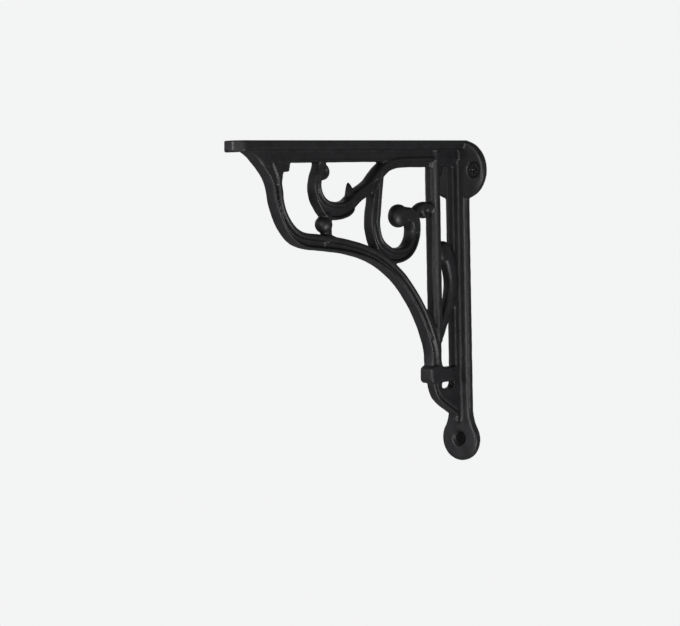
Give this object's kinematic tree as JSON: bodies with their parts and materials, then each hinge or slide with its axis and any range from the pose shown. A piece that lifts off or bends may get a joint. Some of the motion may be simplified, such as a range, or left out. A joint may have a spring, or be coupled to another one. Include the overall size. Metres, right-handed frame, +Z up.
{
  "type": "shelf bracket",
  "caption": "Scrolled cast-iron shelf bracket: a flat rail under the shelf, a ribbed wall bar with screw ears and a foot lug, and open scrollwork between.",
  "frame": {"origin": "on the flat back, midway between the two upper screws", "axes": "+Y into the wall, +Z up, +X to the right of someone who faces the wall"},
  "size_m": [0.0452, 0.2, 0.2],
  "materials": {
    "black_iron": "black satin coating over a fine sand-cast grain",
    "screw_steel": "blackened steel, satin"
  },
  "bodies": {
    "root": {"bracket_casting": "black_iron", "upper_screw_right": "screw_steel", "upper_screw_left": "screw_steel", "lower_screw": "screw_steel"}
  },
  "joints": []
}
